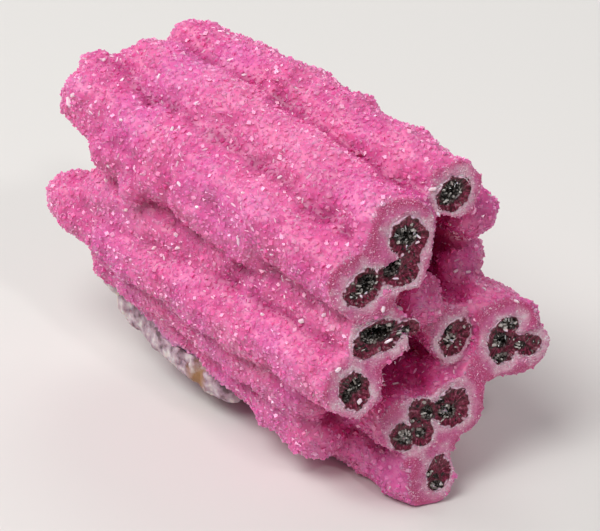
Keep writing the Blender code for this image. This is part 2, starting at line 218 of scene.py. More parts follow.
# Lobes of each core as seen in the picture: middle, half length, half width in pixels and turn in degrees.
# A cavity also has its depth in mm and how pale its crystals are.
CORES = {
    "core_top": (
        [(453.5, 194.0, 20.5, 15.0, 48)],
        [(452.0, 192.0, 14.5, 9.5, 50, 0.55, 0.15)],
    ),
    "core_middle_chain": (
        [(408.4, 236.5, 21.0, 19.5, 45), (412.0, 257.0, 8.0, 8.0, 0), (401.3, 271.9, 20.0, 13.5, 28),
         (383.5, 274.5, 6.5, 6.0, 90), (363.5, 288.2, 23.5, 15.0, 45)],
        [(407.5, 237.0, 12.5, 10.5, 30, 1.0, 0.35), (392.5, 268.5, 11.5, 8.0, 50, 1.1, 0.1),
         (367.0, 284.5, 13.5, 9.0, 45, 0.9, 0.25), (354.5, 296.5, 4.5, 4.0, 0, 0.35, 0.6)],
    ),
    "core_left": (
        [(378.4, 337.1, 27.5, 15.5, 22), (363.5, 349.5, 10.5, 10.0, 0), (411.0, 327.5, 9.5, 8.0, 35)],
        [(377.0, 334.5, 19.5, 9.0, 20, 1.5, 0.05), (403.0, 332.0, 8.0, 6.0, 30, 0.5, 0.45)],
    ),
    "core_low_left": (
        [(353.8, 391.6, 20.5, 15.5, 80)],
        [(355.5, 386.5, 8.5, 6.5, 40, 0.8, 0.1), (347.5, 396.5, 8.0, 5.0, 80, 0.8, 0.35)],
    ),
    "core_inner": (
        [(454.6, 336.7, 22.0, 13.0, 60)],
        [(449.0, 330.0, 6.5, 4.0, 60, 0.6, 0.1), (450.0, 340.0, 8.0, 5.0, 60, 0.4, 0.7)],
    ),
    "core_right": (
        [(500.8, 344.5, 20.0, 14.0, 95), (508.0, 325.5, 12.0, 8.5, 20), (527.5, 344.5, 15.0, 11.0, 10),
         (513.0, 342.0, 11.0, 10.0, 0)],
        [(501.5, 341.0, 9.0, 8.0, 70, 0.9, 0.1), (500.0, 358.0, 8.5, 4.5, 20, 0.6, 0.1),
         (509.5, 324.0, 9.0, 6.0, 20, 0.35, 0.75), (520.5, 345.5, 6.5, 4.5, 10, 0.35, 0.25)],
    ),
    "core_lower_chain": (
        [(402.0, 437.5, 14.5, 12.5, 90), (420.5, 433.0, 13.5, 12.5, 40), (421.5, 411.0, 14.5, 12.5, 20),
         (418.0, 422.0, 9.0, 8.0, 0), (437.0, 411.0, 8.0, 9.0, 0), (452.5, 407.0, 21.5, 16.5, 65)],
        [(447.5, 412.0, 9.5, 7.5, 30, 0.9, 0.15), (427.5, 412.5, 8.0, 7.0, 70, 0.8, 0.25),
         (405.0, 437.5, 8.5, 8.0, 0, 0.4, 0.55), (421.0, 433.5, 6.0, 5.5, 40, 0.35, 0.35),
         (439.5, 400.5, 6.0, 5.0, 0, 0.4, 0.8)],
    ),
    "core_foot": (
        [(438.2, 473.5, 19.0, 11.5, 75)],
        [(429.5, 474.5, 3.2, 3.4, 0, 0.5, 0.0), (436.5, 477.0, 3.4, 2.6, 0, 0.5, 0.0),
         (437.0, 486.0, 7.5, 6.0, 0, 0.25, 0.65)],
    ),
}


def ray_of(column, row):
    """Give the direction from the camera through a point of the picture."""
    side = (column - IMAGE_WIDTH / 2) / IMAGE_WIDTH * SENSOR
    rise = (IMAGE_HEIGHT / 2 - row) / IMAGE_WIDTH * SENSOR
    return (camera_right * side + camera_up * rise - camera_back * LENS).normalized()


def break_place(level, column, row):
    """Give the point of the broken end at a level that shows at a place of the picture."""
    ray = ray_of(column, row)
    distance = (level - camera.location.dot(BREAK_NORMAL)) / ray.dot(BREAK_NORMAL)
    return camera.location + ray * distance


def picture_place(points):
    """Give where points of the scene fall in the picture, as columns and rows."""
    offset = points - np.array(camera.location)
    depth = -(offset @ np.array(camera_back))
    scale = LENS / SENSOR * IMAGE_WIDTH / depth
    columns = IMAGE_WIDTH / 2 + (offset @ np.array(camera_right)) * scale
    rows = IMAGE_HEIGHT / 2 - (offset @ np.array(camera_up)) * scale
    return columns, rows


def reach_in(lobe, columns, rows):
    """Give how many half widths each point lies from the middle of an oval lobe, and on which side."""
    middle_column, middle_row, half_length, half_width, turn = lobe[:5]
    angle = math.radians(turn)
    along = (columns - middle_column) * math.cos(angle) - (rows - middle_row) * math.sin(angle)
    aside = (columns - middle_column) * math.sin(angle) + (rows - middle_row) * math.cos(angle)
    reach = np.hypot(along / half_length, aside / half_width)
    return reach, along / half_length, aside / half_width


def core_reach(lobes, level, points):
    """Give how many half widths points lie from the lobes of a core, seen square on to the broken end."""
    normal = np.array(BREAK_NORMAL)
    flattened = points - (points @ normal - level)[:, None] * normal
    columns, rows = picture_place(flattened)
    reaches = np.array([reach_in(lobe, columns, rows)[0] for lobe in lobes])
    return -np.log(np.exp(-NECK_SHARPNESS * reaches).sum(axis=0)) / NECK_SHARPNESS


def smooth_step(value, low, high):
    """Rise softly from 0 to 1 as a value goes from low to high."""
    share = np.clip((value - low) / (high - low), 0.0, 1.0)
    return share * share * (3.0 - 2.0 * share)


def numbers_of(domain, name, width):
    """Read one number or vector for each vertex or polygon of a mesh as an array."""
    values = np.zeros(len(domain) * width, np.float32)
    domain.foreach_get(name, values)
    return values.reshape(-1, width) if width > 1 else values


def write_attribute(mesh, name, values):
    """Store one number or vector for each vertex under a name that materials read."""
    kind, field = ("FLOAT_VECTOR", "vector") if values.ndim == 2 else ("FLOAT", "value")
    attribute = mesh.attributes.new(name, kind, "POINT")
    attribute.data.foreach_set(field, values.astype(np.float32).ravel())


def skin_of(obj):
    """Give the places and the normals of the vertices of a mesh."""
    return numbers_of(obj.data.vertices, "co", 3), numbers_of(obj.data.vertices, "normal", 3)


def roughness_of(points, size, seed):
    """Give smooth noise from about -1 to 1 at each point, with grains of one size in mm."""
    offset = Vector((seed * 7.3, seed * 3.1, seed * 5.7))
    return np.array([noise.noise(Vector(point) / (size * MM) + offset) for point in points])


def surface_tree(*meshes):
    """Build one search tree over the faces of meshes."""
    joined = bmesh.new()
    for mesh in meshes:
        joined.from_mesh(mesh)
    found = BVHTree.FromBMesh(joined)
    joined.free()
    return found


def move_vertices(obj, places):
    """Put the vertices of a mesh at new places."""
    obj.data.vertices.foreach_set("co", places.astype(np.float32).ravel())
    obj.data.update()


core_wall, tree, shader = new_material("maroon_fibrous_calcite")
# Calcite fibres full of iron: wine red and half clear, pale where they start; towards the cavity they turn
# near black, partly the dark crystals' own colour and partly painted shade in the pit
coords = node(tree, "ShaderNodeTexCoord").outputs["Object"]
reach_value = node(tree, "ShaderNodeAttribute", attribute_name="lobe_reach").outputs["Fac"]
cavity_value = node(tree, "ShaderNodeAttribute", attribute_name="cavity_reach").outputs["Fac"]
turn_value = node(tree, "ShaderNodeAttribute", attribute_name="fibre_turn").outputs["Vector"]
fibres = node(tree, "ShaderNodeTexNoise", {"Vector": turn_value, "Scale": 9.0, "Detail": 2.0})
grains = node(tree, "ShaderNodeTexNoise", {"Vector": coords, "Scale": 1.0 / (0.24 * MM), "Detail": 2.0})
mixed = node(tree, "ShaderNodeMix", {0: 0.5, 2: fibres, 3: grains})
wall_colour = node(tree, "ShaderNodeValToRGB", {"Fac": mixed},
                   stops=[(0.38, "#2A0610"), (0.49, "#5E1029"), (0.59, "#8A2A4A"), (0.70, "#B98A9C")])
cavity_shade_share = node(tree, "ShaderNodeMapRange", {"Value": cavity_value, "From Min": 1.15, "From Max": 0.75})
cavity_dark_and_shade = node(tree, "ShaderNodeValToRGB", {"Fac": grains},
                    stops=[(0.40, "#14110F"), (0.55, "#2B2420"), (0.68, "#5E524D")])
lined = node(tree, "ShaderNodeMix", {0: cavity_shade_share, 6: wall_colour, 7: cavity_dark_and_shade},
             data_type="RGBA")
ring_colour = node(tree, "ShaderNodeValToRGB", {"Fac": grains},
                   stops=[(0.35, "#C590AC"), (0.65, "#E9CBDA")])
ring_share = node(tree, "ShaderNodeMapRange", {"Value": reach_value, "From Min": 0.93, "From Max": 1.01})
whole = node(tree, "ShaderNodeMix", {0: ring_share, 6: lined, 7: ring_colour}, data_type="RGBA")
feed(tree, shader, {
    "Base Color": whole, "Roughness": 0.28, "Specular IOR Level": 0.3, "IOR": 1.6,
    "Subsurface Weight": 0.25, "Subsurface Radius": (1.0, 0.2, 0.3), "Subsurface Scale": 0.3 * MM})

solid_tree = surface_tree(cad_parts["calcite_fingers"].data)
core_pieces = []
core_levels = {}
for name, (lobes, cavities) in CORES.items():
    heights = []
    for column, row, half_length, half_width, turn in lobes:
        for side in range(0, 360, LEVEL_TURN):
            along = LEVEL_REACH * half_length * math.cos(math.radians(side))
            aside = LEVEL_REACH * half_width * math.sin(math.radians(side))
            angle = math.radians(turn)
            hit, normal, _, _ = solid_tree.ray_cast(camera.location, ray_of(
                column + along * math.cos(angle) + aside * math.sin(angle),
                row - along * math.sin(angle) + aside * math.cos(angle)))
            if hit and normal.dot(BREAK_NORMAL) > FACING_SHARE:
                heights.append(hit.dot(BREAK_NORMAL))
    level = float(np.median(heights))
    core_levels[name] = level
    middle = break_place(level, np.mean([lobe[0] for lobe in lobes]), np.mean([lobe[1] for lobe in lobes]))

    steps = int(2 * GRID_HALF_SIDE / CORE_STEP)
    bpy.ops.object.select_all(action="DESELECT")
    bpy.ops.mesh.primitive_grid_add(x_subdivisions=steps, y_subdivisions=steps, size=2 * GRID_HALF_SIDE)
    core = bpy.context.object
    core.name = name + "_crust"
    flat = numbers_of(core.data.vertices, "co", 3).astype(float)
    axes = np.array([BREAK_ACROSS, BREAK_UP, BREAK_NORMAL])
    places = np.array(middle) + flat @ axes
    columns, rows = picture_place(places)
    reaches = np.array([reach_in(lobe, columns, rows)[0] for lobe in lobes])
    reach = core_reach(lobes, level, places)
    near = np.flatnonzero(reach < CORE_REACH + 0.2)
    grain = np.zeros(len(places))
    grain[near] = roughness_of(places[near], FINE_GRAIN, 1.0)
    ragged = np.zeros(len(places))
    ragged[near] = roughness_of(places[near], COARSE_GRAIN, 2.0)
    reach = reach + RIM_RAGGED[0] * ragged + RIM_RAGGED[1] * grain
    cavity_fields = np.array([reach_in(cavity, columns, rows)[0] for cavity in cavities])
    cavity_fields = cavity_fields + CAVITY_RAGGED * ragged
    cavity_depths = np.array([cavity[5] for cavity in cavities])[:, None] * MM
    sunk = smooth_step(-cavity_fields, -CAVITY_SLOPE[0], -CAVITY_SLOPE[1])
    dips = (cavity_depths * sunk).max(axis=0)
    nearest_cavity = cavity_fields.argmin(axis=0)
    height = CORE_RISE - WALL_DIP * smooth_step(-reach, -WALL_SLOPE[0], -WALL_SLOPE[1]) - dips
    height -= RIM_DIP * np.maximum(reach - 1.0, 0.0)
    height += WALL_GRAIN * grain * (reach < GRAIN_LIMIT)
    places = places + height[:, None] * axes[2]
    move_vertices(core, places)

    nearest_lobe = reaches.argmin(axis=0)
    turns = np.zeros((len(places), 3))
    for order, lobe in enumerate(lobes):
        length, along, aside = reach_in(lobe, columns, rows)
        own = nearest_lobe == order
        turns[own, 0] = (along / np.maximum(length, 0.05))[own]
        turns[own, 1] = (aside / np.maximum(length, 0.05))[own]
        turns[own, 2] = order * FIBRE_KINDS
    cavity_reach = cavity_fields.min(axis=0)
    inward = np.zeros((len(places), 3))
    for order, cavity in enumerate(cavities):
        own = nearest_cavity == order
        inward[own] = np.array(break_place(level, cavity[0], cavity[1])) - places[own]
    inward -= (inward @ axes[2])[:, None] * axes[2]
    inward /= np.maximum(np.linalg.norm(inward, axis=1), 1e-6)[:, None]
    cover = np.where(cavity_reach < CAVITY_LIMIT, 1.0, STRAY_SHARE) * (reach < CRYSTAL_LIMIT)
    for attribute, values in {
        "lobe_reach": reach + EDGE_RAGGED[1] * grain + EDGE_RAGGED[0] * ragged,
        "cavity_reach": cavity_reach,
        "fibre_turn": turns,
        "growth": inward + LEAN_OUT * axes[2],
        "crystal_cover": cover,
        "paleness": np.array([cavity[6] for cavity in cavities])[nearest_cavity],
    }.items():
        write_attribute(core.data, attribute, values)

    cut_mesh = bmesh.new()
    cut_mesh.from_mesh(core.data)
    cut_mesh.verts.ensure_lookup_table()
    beyond = [cut_mesh.verts[i] for i in np.flatnonzero(reach > CORE_REACH)]
    bmesh.ops.delete(cut_mesh, geom=beyond, context="VERTS")
    cut_mesh.to_mesh(core.data)
    cut_mesh.free()
    wall = core.modifiers.new("thickness", "SOLIDIFY")
    wall.thickness = CORE_THICKNESS
    wall.offset = -1.0
    apply_modifiers(core)
    bpy.ops.object.shade_smooth()
    core.data.materials.append(core_wall)
    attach(core, "root")
    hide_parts(name)
    core_pieces.append(core)


# The fused fingers.
# Cobaltoan calcite grew round thin stalks as fingers about 6 mm thick, until they met and fused.
# The body is one skin of soft lumps; its broken ends are flat, pale and fibrous round each core.
SKIN_VOXEL = 0.27 * MM
SMOOTHING_STEPS = 6
VALLEY_SMOOTHING_STEPS = 90
SKIN_KEPT = 0.69           # share of the faces that stays, which keeps the skin under 200,000 triangles
END_REACH = 1.9            # a broken end is bare of druse this far round its core, in mm
POCKET_GAP = 0.35 * MM     # the solid's pockets lie this near their crusts
POCKET_LIP = 0.4 * POCKET_GAP  # this near, a spot is in a pocket whichever way it faces
POCKET_DEPTHS = (0.1 * MM, 3.0 * MM)
END_DEPTH = 0.6 * MM       # a spot this near the broken end, and facing this much its way, is moved onto it
END_TURN = 0.6
# In half widths from a core's middle: where the flat end fades out, and where its pocket starts
FLAT_REACH = (1.35, 1.15)
CARVE_REACH = (0.94, 0.78)
BREAK_STRETCH = 16.0 * MM  # the broken ends lie within this length of the near end
# Rays from each spot feel how far it is shut in: one straight out and the others in a cone round it
RAY_START = 0.5 * MM
RAY_REACH = 9.0 * MM
RAY_SPREAD = math.radians(48.0)
RAYS_AROUND = 6
BLENDING_STEPS = 6         # times that each spot takes this share of its neighbours' mean
BLENDING_SHARE = 0.6
# A spot is part of a broken end from this share of facing along the break, over this rise of the share
END_FACING = (0.78, 0.14)
END_FADE = 0.5             # a broken end fades out over this many mm
# The rim of a broken end lies between these shares of it, and this many mm outside its core
RIM_RISE = (0.0, 0.35)
RIM_FALL = (0.95, 0.6)
RIM_GAP = 0.35
CARVE_DEPTH = 2.0 * MM     # depth of the pockets that are opened under the cores
# The grooves are filled by this share of their depth, fading out between two places along the bundle
GROOVE_FILL = 0.5
GROWN_SHUT = (10.0 * MM, 16.0 * MM)
MATRIX_RETREAT = 0.35 * MM
MATRIX_STRETCH = (5.0 * MM, 9.0 * MM)  # the matrix lies below these places along the bundle and in height
MATRIX_SEARCH = 3.0 * MM
# In mm from the matrix: where the crust draws back, and where it turns pale
RETREAT_REACH = (1.1, 0.2)
PALE_REACH = (1.8, 0.4)
FLOOR_GAP = 0.45 * MM      # grown faces below this height carry no crystals
LIFT = (0.3 * MM, 1.2 * MM)  # lumps start between these heights, so that the foot stays level


def reshape(*steps):
    """Run edit mode operators, each with its settings, on all of the active mesh."""
    bpy.ops.object.mode_set(mode="EDIT")
    bpy.ops.mesh.select_all(action="SELECT")
    for operator, settings in steps:
        operator(**settings)
    bpy.ops.object.mode_set(mode="OBJECT")


def duplicate_of(name, new_name):
    """Copy a CAD node as a new piece, with its loose triangles merged."""
    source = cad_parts[name]
    pick(source)
    bpy.ops.object.duplicate()
    copy = bpy.context.object
    copy.name = new_name
    copy.parent = None
    for key in list(copy.keys()):
        del copy[key]
    copy.data.materials.clear()
    reshape((bpy.ops.mesh.remove_doubles, {"threshold": 1e-6}))
    return copy


def even_out(obj, voxel, smoothing_steps):
    """Turn the triangles of a solid to one even and softened skin."""
    remesh = obj.modifiers.new("even_skin", "REMESH")
    remesh.mode = "VOXEL"
    remesh.voxel_size = voxel
    soften = obj.modifiers.new("soften", "SMOOTH")
    soften.iterations = smoothing_steps


body = duplicate_of("calcite_fingers", "pink_fingers")

# The pockets of the solid are filled up to the broken end, to be opened again to the cores' outlines
places, normals = skin_of(body)
for name, level in core_levels.items():
    solid_core_tree = surface_tree(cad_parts[name].data)
    for index in np.flatnonzero(places[:, 0] > 0.0):
        place = Vector(places[index])
        nearest, _, _, distance = solid_core_tree.find_nearest(place)
        depth = level - place.dot(BREAK_NORMAL)
        away = distance > POCKET_LIP and (nearest - place).dot(Vector(normals[index])) < 0.0
        if distance < POCKET_GAP and POCKET_DEPTHS[0] < depth < POCKET_DEPTHS[1] and not away:
            places[index] += np.array(BREAK_NORMAL) * depth
move_vertices(body, places)

even_out(body, SKIN_VOXEL, SMOOTHING_STEPS)
apply_modifiers(body)

# Round each core the broken end is made flat, and the spots over its pocket are found
places, normals = skin_of(body)
facing = normals @ np.array(BREAK_NORMAL)
carving = np.zeros(len(places))
for name, level in core_levels.items():
    depths = level - places @ np.array(BREAK_NORMAL)
    reach = core_reach(CORES[name][0], level, places)
    near = (np.abs(depths) < END_DEPTH) & (facing > END_TURN)
    share = near * smooth_step(-reach, -FLAT_REACH[0], -FLAT_REACH[1])
    places += (share * depths)[:, None] * np.array(BREAK_NORMAL, np.float32)
    opened = near * smooth_step(-reach, -CARVE_REACH[0], -CARVE_REACH[1])
    carving = np.maximum(carving, opened)
move_vertices(body, places)

# Each spot near the break gets its distance from the nearest core and the fibre it belongs to
core_tree = surface_tree(*[core.data for core in core_pieces])
places, normals = skin_of(body)
facing = normals @ np.array(BREAK_NORMAL)
core_distance = np.full(len(places), END_REACH * 2.0, np.float32)
fibre_root = np.zeros((len(places), 3), np.float32)
for index in np.flatnonzero(places[:, 0] > np.array(cad_high)[0] - BREAK_STRETCH):
    place = Vector(places[index])
    root, _, _, distance = core_tree.find_nearest(place)
    core_distance[index] = distance / MM
    fibre_root[index] = root / MM
end_face = np.clip((facing - END_FACING[0]) / END_FACING[1], 0.0, 1.0)
end_face = end_face * np.clip((END_REACH - core_distance) / END_FADE, 0.0, 1.0)
end_rim = smooth_step(end_face, *RIM_RISE) * smooth_step(-end_face, -RIM_FALL[0], -RIM_FALL[1])
end_rim *= (core_distance > RIM_GAP) & (core_distance < END_REACH)

# How deep each spot lies in a groove, against a copy of the skin that is smoothed until it is level; the
# materials paint shade into the grooves by it
smooth_copy = body.copy()
smooth_copy.data = body.data.copy()
bpy.context.collection.objects.link(smooth_copy)
level_out = smooth_copy.modifiers.new("level_out", "SMOOTH")
level_out.iterations = VALLEY_SMOOTHING_STEPS
level_out.factor = 0.6
apply_modifiers(smooth_copy)
levelled, level_normals = skin_of(smooth_copy)
valley = ((levelled - places) * normals).sum(axis=1) / MM

# How far each spot is shut in: the share of rays from it that meet the body again; the materials paint glow
# and shade into the recesses by it
skin_tree = surface_tree(body.data)
aside = np.cross(level_normals, np.array([0.31, 0.53, 0.79]))
aside /= np.maximum(np.linalg.norm(aside, axis=1), 1e-6)[:, None]
around = np.cross(level_normals, aside)
enclosed = np.zeros(len(places))
for turn in range(RAYS_AROUND + 1):
    angle = math.tau * turn / RAYS_AROUND
    spread = RAY_SPREAD if turn < RAYS_AROUND else 0.0
    rays = (level_normals * math.cos(spread)
            + (aside * math.cos(angle) + around * math.sin(angle)) * math.sin(spread))
    starts = places + rays * RAY_START
    enclosed += [skin_tree.ray_cast(start, ray, RAY_REACH)[0] is not None
                 for start, ray in zip(starts.tolist(), rays.tolist())]
enclosed /= RAYS_AROUND + 1
edges = np.zeros(len(body.data.edges) * 2, np.int32)
body.data.edges.foreach_get("vertices", edges)
edges = edges.reshape(-1, 2)
neighbours = np.bincount(edges.ravel(), minlength=len(places))
for step in range(BLENDING_STEPS):
    total = np.bincount(edges[:, 0], enclosed[edges[:, 1]], len(places))
    total += np.bincount(edges[:, 1], enclosed[edges[:, 0]], len(places))
    enclosed = (1.0 - BLENDING_SHARE) * enclosed + BLENDING_SHARE * total / neighbours
bpy.data.objects.remove(smooth_copy)

for name, values in {
    "end_face": end_face,
    "end_rim": end_rim,
    "core_distance": core_distance,
    "fibre_root": fibre_root,
    "valley": valley,
    "enclosed": enclosed,
}.items():
    write_attribute(body.data, name, values)

# The pockets open under the cores, and the grooves between the fingers are partly grown shut
filling = GROOVE_FILL * np.clip(valley, 0.0, 1.2) * MM
filling = filling * smooth_step(-places[:, 0], -GROWN_SHUT[1], -GROWN_SHUT[0])
places = places + filling[:, None] * normals - (carving * CARVE_DEPTH)[:, None] * np.array(BREAK_NORMAL)

# Beside the matrix the pink crust thins out and draws back, so that the pale rock shows below it
matrix_tree = surface_tree(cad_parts["matrix_crust"].data)
matrix_distance = np.full(len(places), 9.0)
for number in np.flatnonzero((places[:, 2] < MATRIX_STRETCH[1]) & (places[:, 0] < MATRIX_STRETCH[0])):
    found = matrix_tree.find_nearest(Vector(places[number].tolist()), MATRIX_SEARCH)
    if found[0] is not None:
        matrix_distance[number] = found[3] / MM
retreat = MATRIX_RETREAT * smooth_step(-matrix_distance, -RETREAT_REACH[0], -RETREAT_REACH[1])
places = places - retreat[:, None] * normals
matrix_near = smooth_step(-matrix_distance, -PALE_REACH[0], -PALE_REACH[1])
write_attribute(body.data, "matrix_near", matrix_near)
move_vertices(body, places)

lifted = smooth_step(places[:, 2], *LIFT)
outside = body.vertex_groups.new(name="outside")
steps = np.round((1.0 - end_face) * lifted * 10).astype(int)
for step in range(11):
    outside.add(np.flatnonzero(steps == step).tolist(), step / 10.0, "REPLACE")

# Lumps: kind of pattern, size and height in mm, and the level of the pattern that stays where it was
RELIEF = {
    "swellings": ("CLOUDS", 2.6, 0.50, 0.6),
    "knobbly_growth": ("VORONOI", 1.5, -0.40, 0.3),
    "fine_growth": ("CLOUDS", 0.7, 0.14, 0.8),
}


def add_relief(obj, patterns, group=""):
    """Add one displacement for each pattern of a table, kept to a vertex group if one is named."""
    for name, (kind, size, height, middle_level) in patterns.items():
        texture = bpy.data.textures.new(name, kind)
        texture.noise_scale = size * MM
        relief = obj.modifiers.new(name, "DISPLACE")
        relief.texture = texture
        relief.texture_coords = "LOCAL"
        relief.strength = height * MM
        relief.mid_level = middle_level
        relief.vertex_group = group


add_relief(body, RELIEF, "outside")
thin_out = body.modifiers.new("thin_out", "DECIMATE")
thin_out.ratio = SKIN_KEPT
apply_modifiers(body)
bpy.ops.object.shade_smooth()

PATCH_SIZE = 5.0           # clouds of deeper and paler pink, in mm
MOTTLE_SIZE = 0.9          # mottling from crystal to crystal, in mm
VIOLET_SIZE = 7.0          # stretches of a bluer pink, in mm
UNEVEN_SIZE = 1.6          # the pale zone round a core widens and narrows over this length, in mm
FIBRE_SIZE = 0.22          # fibres of the crust run out from the core, this far apart in mm


def pink_by_place(tree, coords, patch_stops, violet):
    """Mix clouds of deeper and paler pink with stretches of a bluer one."""
    patches = node(tree, "ShaderNodeTexNoise", {
        "Vector": coords, "Scale": 1.0 / (PATCH_SIZE * MM), "Detail": 2.0})
    patch_colour = node(tree, "ShaderNodeValToRGB", {"Fac": patches}, stops=patch_stops)
    violet_patches = node(tree, "ShaderNodeTexNoise", {
        "Vector": coords, "Scale": 1.0 / (VIOLET_SIZE * MM), "Detail": 1.0})
    violet_share = node(tree, "ShaderNodeMapRange", {
        "Value": violet_patches, "From Min": 0.48, "From Max": 0.66, "To Max": 0.4})
    return node(tree, "ShaderNodeMix", {0: violet_share, 6: patch_colour, 7: linear(violet)},
                data_type="RGBA")


def deepened(tree, colour, groove_shade_colour):
    """Paint light and shade into a pink: painted magenta shade in the grooves, and where the surface is shut
    in, a painted bright glow that turns to painted wine red shade deepest in.
    """
    valley_value = node(tree, "ShaderNodeAttribute", attribute_name="valley").outputs["Fac"]
    enclosed_value = node(tree, "ShaderNodeAttribute", attribute_name="enclosed").outputs["Fac"]
    groove_shade_share = node(tree, "ShaderNodeMapRange", {
        "Value": valley_value, "From Min": 0.0, "From Max": 0.40})
    with_groove_shade = node(tree, "ShaderNodeMix", {0: groove_shade_share, 6: colour, 7: linear(groove_shade_colour)},
                     data_type="RGBA")
    shut_in_shade_share = node(tree, "ShaderNodeMapRange", {
        "Value": enclosed_value, "From Min": 0.25, "From Max": 0.80})
    shut_in_glow_and_shade = node(tree, "ShaderNodeValToRGB", {"Fac": enclosed_value},
                          stops=[(0.45, "#EE3490"), (0.75, "#C41C70"), (0.97, "#56082E")])
    return node(tree, "ShaderNodeMix", {0: shut_in_shade_share, 6: with_groove_shade, 7: shut_in_glow_and_shade},
                data_type="RGBA")


def away_from_core(tree, coords):
    """Rise from 0 beside a core to 1 outside its pale zone, which isn't equally wide everywhere."""
    distance_value = node(tree, "ShaderNodeAttribute", attribute_name="core_distance").outputs["Fac"]
    uneven = node(tree, "ShaderNodeTexNoise", {
        "Vector": coords, "Scale": 1.0 / (UNEVEN_SIZE * MM), "Detail": 1.0})
    uneven_distance = node(tree, "ShaderNodeMath", {0: uneven, 1: 2.6, 2: distance_value},
                           operation="MULTIPLY_ADD")
    return node(tree, "ShaderNodeMapRange", {"Value": uneven_distance, "From Min": 1.2, "From Max": 2.1})


def thinned_by_matrix(tree, colour, pale):
    """Turn a colour pale beside the matrix, where the crust is thin."""
    matrix_value = node(tree, "ShaderNodeAttribute", attribute_name="matrix_near").outputs["Fac"]
    return node(tree, "ShaderNodeMix", {0: matrix_value, 6: colour, 7: linear(pale)}, data_type="RGBA")


pink, tree, shader = new_material("drusy_cobaltoan_calcite")
# Pink from cobalt, half clear and sugary, pale where the grains scatter; the magenta down in the grooves is
# painted shade
coords = node(tree, "ShaderNodeTexCoord").outputs["Object"]
end_value = node(tree, "ShaderNodeAttribute", attribute_name="end_face").outputs["Fac"]
distance_value = node(tree, "ShaderNodeAttribute", attribute_name="core_distance").outputs["Fac"]
root_value = node(tree, "ShaderNodeAttribute", attribute_name="fibre_root").outputs["Vector"]
by_place = pink_by_place(
    tree, coords, [(0.30, "#CB3C88"), (0.50, "#E45C9C"), (0.70, "#EC72A8")], "#DE5CB8")
mottle = node(tree, "ShaderNodeTexNoise", {
    "Vector": coords, "Scale": 1.0 / (MOTTLE_SIZE * MM), "Detail": 3.0})
mottle_colour = node(tree, "ShaderNodeValToRGB", {"Fac": mottle},
                     stops=[(0.30, "#C23A80"), (0.52, "#E4629E"), (0.75, "#F4A8CA")])
grown = node(tree, "ShaderNodeMix", {0: 0.4, 6: by_place, 7: mottle_colour}, data_type="RGBA")
# Painted shade in the grooves and where the surface is shut in, with a painted glow in half-shut recesses
thinned = thinned_by_matrix(tree, deepened(tree, grown, "#A01C66"), "#C99AC0")
fibres = node(tree, "ShaderNodeTexNoise", {"Vector": root_value, "Scale": 1.0 / FIBRE_SIZE, "Detail": 1.0})
fibre_colour = node(tree, "ShaderNodeValToRGB", {"Fac": fibres},
                    stops=[(0.35, "#DF9DB8"), (0.62, "#F3CBD9")])
away_colour = node(tree, "ShaderNodeValToRGB", {"Fac": distance_value},
                   stops=[(0.6, "#DA6CA2"), (1.0, "#C9477F")])
end_colour = node(tree, "ShaderNodeMix", {0: away_from_core(tree, coords), 6: fibre_colour, 7: away_colour},
                  data_type="RGBA")
whole = node(tree, "ShaderNodeMix", {0: end_value, 6: thinned, 7: end_colour}, data_type="RGBA")
grain = node(tree, "ShaderNodeTexVoronoi", {"Vector": coords, "Scale": 1.0 / (0.35 * MM)})
bump = node(tree, "ShaderNodeBump", {"Height": grain, "Strength": 0.3, "Distance": 0.12 * MM})
feed(tree, shader, {
    "Base Color": whole, "Normal": bump, "Roughness": 0.42, "IOR": 1.6, "Subsurface Weight": 0.7,
    "Subsurface Radius": (1.0, 0.4, 0.6), "Subsurface Scale": 0.8 * MM})
body.data.materials.append(pink)
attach(body, "root")
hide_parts("calcite_fingers")


# The druse.
# Corners of small rhombs of the same pink calcite, 0.2 to 0.5 mm across, stand on every grown face. They
# are scattered in code, and each stretch of the bundle is one joined mesh.
DRUSE_SPACING = 0.34 * MM
DRUSE_SIZES = (0.26, 0.54)
DRUSE_TILT = 0.30
DRUSE_PARTS = 4
CORNER_HEIGHTS = (0.22, 0.30, 0.42)
CORNER_ROOT = 0.16         # a corner is sunk this share of its size into the skin
CORNER_RADIUS = 0.62
BARE_END = 1.6             # druse stops where a face is 1 / 1.6 part of a broken end
BARE_MATRIX = 0.85         # and where it is this near the matrix, on a scale from 0 to 1

crystal_pink, tree, shader = new_material("pink_calcite_rhombs")
# Cleavage faces of calcite: glossy, half clear, each a little paler or deeper than the next; the colour is
# lifted above the skin's and the palest, near white, are painted glints
coords = node(tree, "ShaderNodeTexCoord").outputs["Object"]
shade_value = node(tree, "ShaderNodeAttribute", attribute_name="shade").outputs["Fac"]
rim_value = node(tree, "ShaderNodeAttribute", attribute_name="end_rim").outputs["Fac"]
by_place = pink_by_place(
    tree, coords, [(0.30, "#DC5098"), (0.50, "#EE70AC"), (0.70, "#F48AB8")], "#E062BC")
tone_and_glint_colour = node(tree, "ShaderNodeValToRGB", {"Fac": shade_value},
                    stops=[(0.0, "#E260A0"), (0.60, "#EE7CB0"), (0.90, "#F4A2C6"), (1.0, "#FBDCE8")])
both = node(tree, "ShaderNodeMix", {0: 0.35, 6: by_place, 7: tone_and_glint_colour}, data_type="RGBA")
# Painted shade in the grooves and where the surface is shut in, with a painted glow in half-shut recesses
recess_shaded = deepened(tree, both, "#A81F6C")
rimmed = node(tree, "ShaderNodeMix", {0: rim_value, 6: recess_shaded, 7: linear("#DDA3C2")}, data_type="RGBA")
feed(tree, shader, {
    "Base Color": thinned_by_matrix(tree, rimmed, "#CFA0C6"), "Roughness": 0.24, "IOR": 1.6,
    "Subsurface Weight": 0.8, "Subsurface Radius": (1.0, 0.6, 0.75), "Subsurface Scale": 0.32 * MM})


